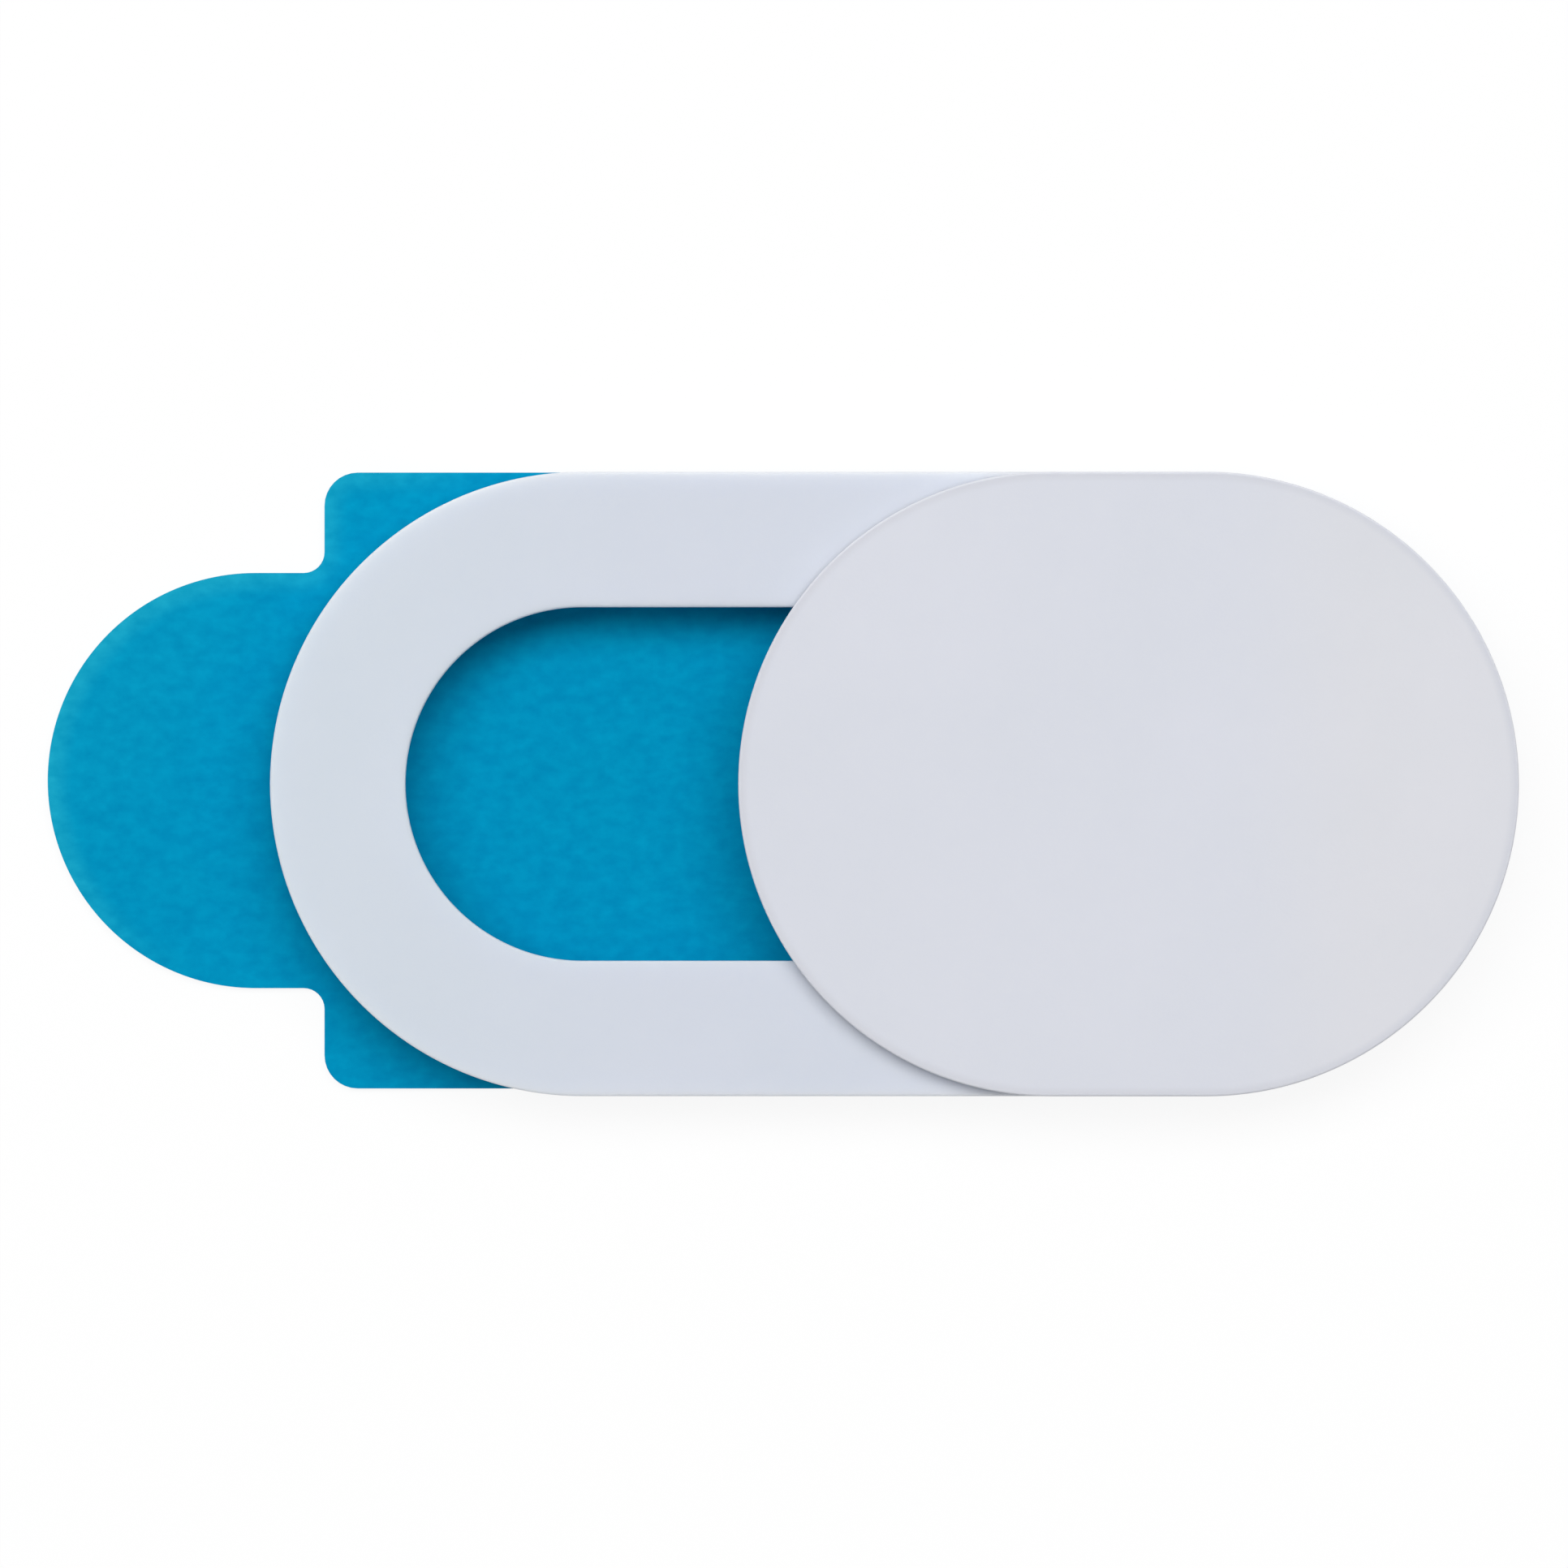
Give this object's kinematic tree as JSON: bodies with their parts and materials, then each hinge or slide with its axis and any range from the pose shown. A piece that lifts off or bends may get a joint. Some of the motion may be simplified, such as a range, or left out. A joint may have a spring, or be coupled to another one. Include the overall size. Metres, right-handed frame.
{
  "type": "webcam cover slider",
  "caption": "Stick-on racetrack-shaped privacy cover: a plate slides along a windowed frame to hide or show a camera, with a release liner and pull tab on its taped back.",
  "frame": {"origin": "on the back of the release liner, under the middle of the frame", "axes": "+X along the slide, towards the end where the shutter rests with the window open; +Z away from the screen that the cover is stuck to; +Y across, to the left of +X"},
  "size_m": [0.0212, 0.009, 0.0013],
  "materials": {
    "frame_plastic": "fine matt moulded white with a cool cast",
    "shutter_plastic": "fine matt moulded white",
    "tape_adhesive": "milky acrylic adhesive",
    "liner_film": "blue film with a fine grain"
  },
  "bodies": {
    "base": {"base_frame": "frame_plastic", "adhesive_tape": "tape_adhesive", "release_liner": "liner_film"},
    "slider": {"shutter": "shutter_plastic"}
  },
  "joints": [
    {"name": "shutter_slide", "type": "slide", "parent": "base", "child": "slider", "axis": [-1, 0, 0], "range_m": [0, 0.00675]}
  ]
}
